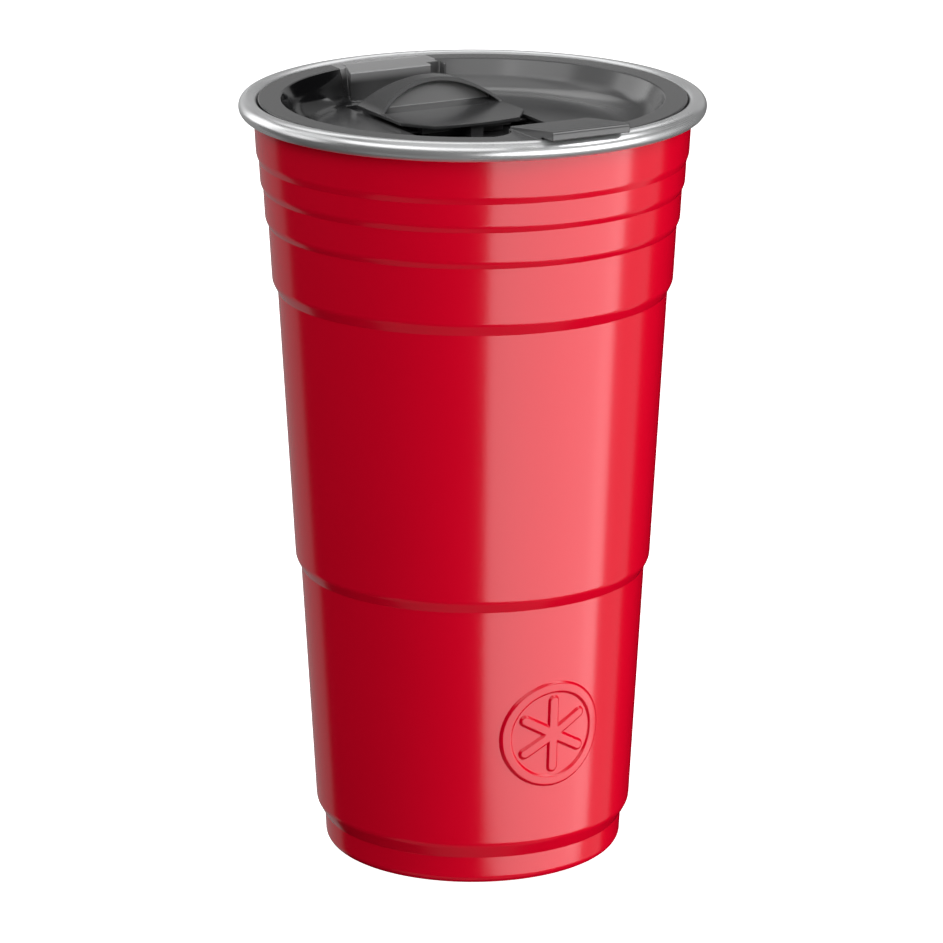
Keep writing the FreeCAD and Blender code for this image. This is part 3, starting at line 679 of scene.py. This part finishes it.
def makeLiner(material):
    size = linerSizes
    sheet, tube, rounding = size["sheet"], size["tube"], size["shoulderRound"]
    floor = linerUnder + sheet
    shoulder = shellTop - size["shoulderDrop"]
    shoulderFoot = shoulder - size["shoulderHeight"]
    coneTop = size["baseRadius"] + size["taper"] * (shoulderFoot - floor)
    mouthTop = shoulder + size["mouthHeight"]
    mouthTopRadius = size["mouthRadius"] + size["mouthTaper"] * size["mouthHeight"]
    throat = shellCorners()[-1][0] - size["throatInset"]
    throatLevel = shellTop - size["throatDrop"]
    rim = (rimRadius - tube, rimTop - tube)
    outer = [
        (0, floor - sheet),
        (size["baseRadius"] + sheet, floor - sheet, size["baseRound"] + sheet),
        (coneTop + sheet, shoulderFoot - sheet / 2, rounding),
        (size["mouthRadius"] + sheet, shoulder - sheet / 2, rounding),
        (mouthTopRadius + sheet, mouthTop, size["mouthRounds"][0]),
        (throat + sheet, throatLevel, size["throatRounds"][0]),
        (rim[0] - tube + sheet, rim[1]),
    ]
    inner = [
        (rim[0] - tube, rim[1]),
        (throat, throatLevel, size["throatRounds"][1]),
        (mouthTopRadius, mouthTop, size["mouthRounds"][1]),
        (size["mouthRadius"], shoulder, rounding),
        (coneTop, shoulderFoot, rounding),
        (size["baseRadius"], floor, size["baseRound"]),
        (0, floor),
    ]
    section = roundedPath(outer, closed=False)
    end, facets = size["curlEnd"], size["curlFacets"]
    section += arc(rim, tube - sheet, 180, end, facets[0])
    section += arc(rim, tube, end, 180, facets[1])[:-1]
    section += roundedPath(inner, closed=False)
    liner = lathe("steelLiner", section, size["turns"])
    return dress(liner, material, "cup", ["inner_liner"])


# Lid

lidSizes = {
    "sink": 0.45,            # its top below the rim's top
    "edge": 0.6,             # thickness of the border at its outside
    "border": 1.4,           # and at the plug
    "wall": 1.9,             # from the plug wall's outside in to the border's inner edge
    "depth": 6.7,            # of the dish
    "lean": 3.6,             # how far the dish's wall comes in on the way down
    "dishRound": 6.5,
    "floorWall": 1.8,
    "plug": 44.4,
    "plugWall": 2.0,
    "gasketRise": 0.9,       # seat of the seal ring: its height above the plug's foot
    "gasketHeight": 3.0,
    "gasketSeat": 0.8,
    "plugRounds": (0.6, 0.4, 0.5),             # under the floor, then inside and outside the foot
    "borderRounds": (0.3, 0.12, 0.25, 0.45),   # from the plug outwards, up and in to the dish
    "step": 6.0,             # degrees between the points of a rounding
    "turns": 320,
    "sharp": 24.0,           # degrees past which an edge isn't smoothed
}
rampSizes = {                # the block behind the slider, hollow in front
    "half": 12.3,
    "backHalf": 9.7,
    "face": 35.4,            # its upper front edge
    "rear": 42.7,            # where its top is highest and its sides turn straight back
    "lip": 0.45,             # rounding of the front edge
    "rise": 0.2,             # height at the rear above the lid's top
    "tailDrop": 0.36,        # its top below the lid's top, just past the border's outside
    "inset": 0.9,            # from the plug's outside
    "apart": 0.02,           # from the plug's foot
    "facets": 16,
    "lipFacets": 6,
    "notchStart": 8.6,       # a notch near the right end of the front edge
    "notchEnd": 11.7,
    "notch": 2.2,            # how far back and down it goes
}
recessSizes = {              # the trough that the slider runs in
    "half": 15.8,
    "wall": 1.6,
    "depth": 2.6,
    "back": 32.0,
    "front": 26.6,
    "corner": 8.6,           # length and width of the cut corners in front
    "cornerSide": 4.7,
    "cornerRound": 1.5,
    "backRound": 0.8,
    "clear": 3.0,            # how far above the dish's floor nothing is in its way
    "boxTop": 0.4,           # its walls' upper end below that floor
    "apart": 0.01,           # its walls' lower end above the plug's foot
    "railDepth": 0.8,        # grooves for the slider's ribs
    "ribHeight": 0.5,
    "ribPlay": 0.2,
}
holeSizes = {"half": 7.6, "back": 4.5, "length": 13.5, "round": 3.0}
tabSizes = {
    "half": 9.4,
    "inner": 34.2,           # its inner end
    "overRim": 0.35,         # its underside over the rim
    "innerRise": 0.6,
    "innerDrop": 1.4,
    "edgeRound": 0.3,
    "round": 0.8,
    "root": 1.0,             # how far its thick inner part goes past the border's inner edge
    "rimPlay": 0.6,          # slope of its underside at the lid's edge: half length and foot
    "rimDrop": 0.3,
    "web": 6.4,              # hollow webs at its sides: reach and length
    "webLength": 5.4,
    "webFacets": 12,
    "webOut": 0.25,
    "webRoot": (1.0, 0.8, 1.5),    # how far they go into the tab and, twice, into the border
    "webApart": (0.02, 0.01),      # from the tab's underside and the lid's top
}

lidTop = rimTop - lidSizes["sink"]
lidMouth = lidSizes["plug"] - lidSizes["wall"]
dishFloor = lidTop - lidSizes["depth"]
troughFloor = dishFloor - recessSizes["depth"]


def rectangle(left, right, low, high):
    return [(left, low), (right, low), (right, high), (left, high)]


def recessOutline(spare):
    size = recessSizes
    side, front = size["half"] + spare, size["front"] + spare
    straight, rounding = -(size["front"] - size["corner"]), size["cornerRound"]
    return [
        (-side, size["back"] + spare, size["backRound"]),
        (-side, straight, rounding),
        (-side + size["cornerSide"], -front, rounding),
        (side - size["cornerSide"], -front, rounding),
        (side, straight, rounding),
        (side, size["back"] + spare, size["backRound"]),
    ]


def makeRamp():
    size, lid = rampSizes, lidSizes
    lip, foot, low = lidTop - size["lip"], recessSizes["back"], plugFoot + size["apart"]
    hollow = []
    for number in range(size["facets"] + 1):
        angle = math.radians(90 * number / size["facets"])
        hollow.append((foot + (size["face"] - foot) * math.sin(angle),
                       lip - (lip - troughFloor) * math.cos(angle)))
    brow = arc((size["face"] + size["lip"], lip), size["lip"], 180, 90, size["lipFacets"])
    ramp = prism("ramp", [(foot, low)] + hollow + brow[1:] + [
        (size["rear"], lidTop + size["rise"]),
        (lidRadius + over, lidTop - size["tailDrop"]),
        (lidRadius + over, low),
    ], "YZ", -size["half"] - over, size["half"] + over)
    half, back, out = size["half"], size["backHalf"], lidRadius + over * 2
    plan = prism("plan", [
        (-half, 0), (half, 0), (half, size["face"]), (back, size["rear"]), (back, out),
        (-back, out), (-back, size["rear"]), (-half, size["face"]),
    ], "XY", plugFoot - over, lidTop + over)
    combine(ramp, plan, "INTERSECT")
    inner = lid["plug"] - size["inset"]
    envelope = lathe("envelope", [
        (inner, plugFoot - over), (inner, lidTop - lid["border"]),
        (lidRadius, lidTop - lid["edge"]), (lidRadius, lidTop + over),
        (0, lidTop + over), (0, plugFoot - over),
    ], lid["turns"])
    combine(ramp, envelope, "INTERSECT")
    cut = rectangle(size["notchStart"], size["notchEnd"], lip - size["notch"], lidTop + over)
    notch = prism("notch", cut, "XZ", foot - over, size["face"] + size["notch"])
    return combine(ramp, notch, "DIFFERENCE")


def makeLid(material):
    size, recess = lidSizes, recessSizes
    plugRounds, borderRounds = size["plugRounds"], size["borderRounds"]
    plugIn = size["plug"] - size["plugWall"]
    seat = size["plug"] - size["gasketSeat"]
    sealFoot = plugFoot + size["gasketRise"]
    sealHead = sealFoot + size["gasketHeight"]
    turned = lathe("smokeLid", roundedPath([
        (0, dishFloor - size["floorWall"]),
        (plugIn, dishFloor - size["floorWall"], plugRounds[0]),
        (plugIn, plugFoot, plugRounds[1]),
        (size["plug"], plugFoot, plugRounds[2]),
        (size["plug"], sealFoot),
        (seat, sealFoot),
        (seat, sealHead),
        (size["plug"], sealHead),
        (size["plug"], lidTop - size["border"], borderRounds[0]),
        (lidRadius, lidTop - size["edge"], borderRounds[1]),
        (lidRadius, lidTop, borderRounds[2]),
        (lidMouth, lidTop, borderRounds[3]),
        (lidMouth - size["lean"], dishFloor, size["dishRound"]),
        (0, dishFloor),
    ], step=size["step"]), size["turns"])
    box = prism("box", roundedPath(recessOutline(recess["wall"])), "XY",
                plugFoot + recess["apart"], dishFloor - recess["boxTop"])
    combine(turned, box, "UNION")
    cut = prism("recess", roundedPath(recessOutline(0)), "XY",
                troughFloor, dishFloor + recess["clear"])
    combine(turned, cut, "DIFFERENCE")
    combine(turned, makeRamp(), "UNION")
    front = -(holeSizes["back"] + holeSizes["length"])
    hole = prism("hole", roundedPath([
        corner + (holeSizes["round"],)
        for corner in rectangle(-holeSizes["half"], holeSizes["half"], front, -holeSizes["back"])
    ]), "XY", plugFoot - over, troughFloor + over)
    combine(turned, hole, "DIFFERENCE")
    reach = recess["half"] + recess["railDepth"]
    low = keelUnder - recess["ribPlay"]
    high = keelUnder + recess["ribHeight"] + recess["ribPlay"]
    rails = prism("rails", rectangle(-reach, reach, low, high), "XZ",
                  recess["corner"] - recess["front"], recess["back"])
    combine(turned, rails, "DIFFERENCE")
    addTab(turned)
    return dress(turned, material, "lid", ["lid_body"], sharp=size["sharp"])


def addTab(lid):
    size, mouth, edgeRound = tabSizes, lidMouth, tabSizes["edgeRound"]
    overRim, under = rimTop + size["overRim"], lidTop - size["innerDrop"]
    tab = prism("tab", roundedPath([
        (-tabFront, overRim, edgeRound),
        (-tabFront, tabTop, size["round"]),
        (-size["inner"], lidTop + size["innerRise"], edgeRound),
        (-size["inner"], under, edgeRound),
        (-mouth - size["root"], under),
        (-lidRadius + size["rimPlay"], lidTop - size["rimDrop"]),
        (-lidRadius - size["rimPlay"], overRim),
    ]), "YZ", -size["half"], size["half"])
    combine(lid, tab, "UNION")
    web, half, length, facets = size["web"], size["half"], size["webLength"], size["webFacets"]
    intoTab, intoBorder, intoEdge = size["webRoot"]
    low, high = size["webApart"]
    meet = math.sqrt(mouth**2 - (half + web)**2)
    angles = [math.radians(90 * n / facets) for n in range(facets + 1)]
    for hand in (1, -1):
        outline = [
            (hand * (half + web * (1 - math.sin(angle)) + size["webOut"]),
             length * (1 - math.cos(angle)) - meet)
            for angle in angles
        ] + [
            (hand * (half - intoTab), length - meet),
            (hand * (half - intoTab), -mouth - intoBorder),
            (hand * (half + web), -meet - intoEdge),
        ]
        combine(lid, prism("web", outline, "XY", under + low, lidTop - high), "UNION")


# Slider

slideSizes = {
    "gap": 0.3,              # all round it
    "front": 3.2,
    "bow": 1.1,              # of its front edge
    "bowFacets": 20,
    "corner": 6.6,           # length of its cut corners
    "edge": 0.75,            # thickness of its plate
    "lift": 0.6,             # its underside above the dish's floor
    "back": 26.0,            # of the plate and of the hump
    "face": 14.2,            # foot of the hump's front
    "hump": 6.3,
    "humpFacets": 40,
    "lean": 4.0,             # of the hump's front
    "backLean": 3.8,
    "rim": 0.9,              # of the hump round the thumb's hollow
    "sink": 0.8,             # lean of the hollow's upright face
    "step": 0.45,            # foot of that face above the plate
    "keelHalf": 11.2,
    "keelFront": 2.8,
    "ribHalf": 1.55,         # front rib
    "ribReach": 2.1,
    "padHeight": 1.05,       # soft pad under the keel, and its play
    "padGap": 0.15,
    "overlap": 0.1,          # of pieces that are joined
    "root": 0.5,             # how far the hump goes into the plate
    "narrow": 0.01,          # by which it is narrower on each side
    "hair": 0.001,           # keeps two faces from lying in one plane
    "sharp": 24.0,
}
keelUnder = troughFloor + slideSizes["padGap"] + slideSizes["padHeight"]
plateTop = dishFloor + slideSizes["lift"] + slideSizes["edge"]
plateHalf = recessSizes["half"] - slideSizes["gap"]
thumbHalf = plateHalf - slideSizes["rim"]
thumbRise = slideSizes["hump"] - slideSizes["rim"]


def archCircle(half, rise, foot):  # radius and centre height of the circle over a chord
    radius = (half**2 + rise**2) / (2 * rise)
    return radius, foot + rise - radius


def humpArch(half, rise, foot):
    radius, centre = archCircle(half, rise, foot)
    swing = math.degrees(math.asin(half / radius))
    return arc((0, centre), radius, 90 - swing, 90 + swing, slideSizes["humpFacets"])


def makeSlider(material):
    size, overlap = slideSizes, slideSizes["overlap"]
    under, top, half = dishFloor + size["lift"], plateTop, plateHalf
    corner = half - recessSizes["cornerSide"]
    sideEnd = size["corner"] + size["bow"] - size["front"]
    bow = archCircle(corner, size["bow"], 0)[0]
    swing = math.degrees(math.asin(corner / bow))
    outline = arc((0, bow - size["front"]), bow, -90 - swing, -90 + swing, size["bowFacets"])
    outline += [(half, sideEnd), (half, size["back"]), (-half, size["back"]), (-half, sideEnd)]
    plate = prism("smokeSlider", outline, "XY", under, top)

    face, back, clear = size["face"], size["back"], top + size["hump"] * 2
    side, root = half - size["narrow"], top - size["root"]
    outline = humpArch(side, size["hump"], top) + [(-side, root), (side, root)]
    hump = prism("hump", outline, "XZ", face - over, back)
    before = [
        (face - over * 2, top - over), (face, top - over), (face, top),
        (face + size["lean"] * 2, clear), (face - over * 2, clear),
    ]
    behind = [
        (back, top), (back + over, top), (back + over, clear),
        (back - size["backLean"] * 2, clear),
    ]
    for wedge in (before, behind):
        cut = prism("cut", wedge, "YZ", -half - over, half + over)
        combine(hump, cut, "DIFFERENCE")
    combine(plate, hump, "UNION")

    foot, thumbFace = top + size["hair"], face + size["lean"]
    thumb = prism("thumb", humpArch(thumbHalf, thumbRise, foot), "XZ", 0, back)
    slab = prism("slab", [
        (face - over, top - over), (face, top - over), (face, foot),
        (thumbFace, top + size["step"]),
        (thumbFace + size["sink"], top + size["hump"]),
        (face - over, top + size["hump"]),
    ], "YZ", -half, half)
    combine(thumb, slab, "INTERSECT")
    combine(plate, thumb, "DIFFERENCE")

    keelHalf, ribHalf = size["keelHalf"], size["ribHalf"]
    keelFront, tail = size["keelFront"], recessSizes["back"] - size["gap"] * 2
    keel = rectangle(-keelHalf, keelHalf, keelFront, tail)
    ribs = rectangle(-slideHalf, slideHalf, sideEnd, tail)
    post = rectangle(-ribHalf, ribHalf, -size["ribReach"], keelFront + overlap)
    for name, outline, low, high in (
        ("keel", keel, keelUnder, under + overlap * 2),
        ("ribs", ribs, keelUnder - size["hair"], keelUnder + recessSizes["ribHeight"]),
        ("post", post, troughFloor + size["gap"], under + overlap),
    ):
        combine(plate, prism(name, outline, "XY", low, high), "UNION")
    return dress(plate, material, "closure", ["slider"], sharp=size["sharp"])


# Studio

lampSizes = {
    # turn from the camera's side and rise of each lamp as seen from the cup, in degrees;
    # then its distance, width and height in metres, and its brightness
    "key": (50.5, -17, 1.2, 1.96, 0.8, 3.3),
    "keyEnd": (100, -17, 1.2, 0.8, 0.8, 0.45),
    "right": (70, 40, 1.4, 0.9, 0.7, 4.7),
    "front": (-5, 40, 1.4, 0.9, 0.7, 1.75),
    "frontLow": (30, 14, 1.4, 0.7, 0.5, 0.55),
    "frontLeft": (-50, 40, 1.4, 0.9, 0.7, 2.2),
    "left": (-90, 8, 1.4, 0.7, 0.6, 1.45),
    "leftHigh": (-95, 38, 1.4, 0.9, 0.7, 0.95),
    "leftBack": (-125, 15, 1.4, 0.8, 0.8, 2.0),
    "leftRear": (-150, -10, 1.6, 1.4, 1.6, 0.28),
    "rear": (180, 12, 1.6, 2.0, 0.45, 0.38),
    "rearMiddle": (180, 32, 1.6, 2.0, 0.6, 0.25),
    "rearHigh": (180, 55, 1.6, 2.0, 0.7, 1.65),
    "top": (0, 80, 1.3, 1.2, 1.2, 0.6),
    "below": (0, -66, 1.2, 2.2, 0.7, 0.17),
}
studio = {
    "aim": 90.0,             # height that the lamps face
    "fill": 0.02,            # brightness of the backdrop
    "floorSize": 20.0,       # metres
    "floorColour": 0.85,
    "floorGlow": 1.0,
    "floorRoughness": 0.9,
}


def makeLamps():
    turn = math.radians(cameraView["turn"])
    toCamera = Vector((-math.sin(turn), -math.cos(turn), 0))
    right = Vector((math.cos(turn), -math.sin(turn), 0))
    for name, (swing, rise, away, width, height, glow) in lampSizes.items():
        data = bpy.data.lights.new(name, "AREA")
        data.shape = "RECTANGLE"
        data.size, data.size_y = width, height
        data.energy = glow * math.pi * width * height
        lamp = bpy.data.objects.new(name, data)
        a, e = math.radians(swing), math.radians(rise)
        level = toCamera * math.cos(a) + right * math.sin(a)
        towards = level * math.cos(e) + Vector((0, 0, math.sin(e)))
        lamp.location = towards * away + Vector((0, 0, studio["aim"] * mm))
        lamp.rotation_euler = (-towards).to_track_quat("-Z", "Y").to_euler()
        bpy.context.scene.collection.objects.link(lamp)
    print(len(lampSizes), "lamps")


def makeStudio():
    scene = bpy.context.scene
    scene.view_settings.view_transform = "Standard"
    world = bpy.data.worlds.new("studio")
    world.use_nodes = True
    background = world.node_tree.nodes["Background"]
    background.inputs["Color"].default_value = (1, 1, 1, 1)
    background.inputs["Strength"].default_value = studio["fill"]
    world.cycles_visibility.glossy = False
    scene.world = world

    bpy.ops.mesh.primitive_plane_add(size=studio["floorSize"], location=(0, 0, 0))
    floor = bpy.context.object
    floor.name = "floor"
    pale = studio["floorColour"]
    floor.data.materials.append(newFinish("floor", {
        "Roughness": studio["floorRoughness"],
        "Specular IOR Level": 0.0,
        "Base Color": (pale, pale, pale, 1),
        "Emission Color": (1, 1, 1, 1),
        "Emission Strength": studio["floorGlow"],
    })[0])
    floor.visible_glossy = False
    floor.visible_diffuse = False
    floor.visible_shadow = False
    print("floor and backdrop")


def dressNode(name, material):
    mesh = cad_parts[name].data
    mesh.materials.clear()
    mesh.materials.append(material)
    print(name, "dressed")


makeCamera()
paint = paintFinish()
steel = metalFinish("steel")
dullSteel = metalFinish("dullSteel")
smoke = plasticFinish("smoke", mouldedPlastic["roundEdge"])
slide = plasticFinish("slide", mouldedPlastic["roundEdge"])
rubber = plasticFinish("rubber")
print(len(finishes), "finishes")
makeShell(paint)
makeEmblem(paint)
makeLiner(steel)
makeLid(smoke)
makeSlider(slide)
for name, material in (
    ("base_plate", steel),
    ("vacuum_seal", dullSteel),
    ("getter_pad", dullSteel),
    ("lid_gasket", rubber),
    ("slider_seal", rubber),
):
    dressNode(name, material)
makeLamps()
makeStudio()
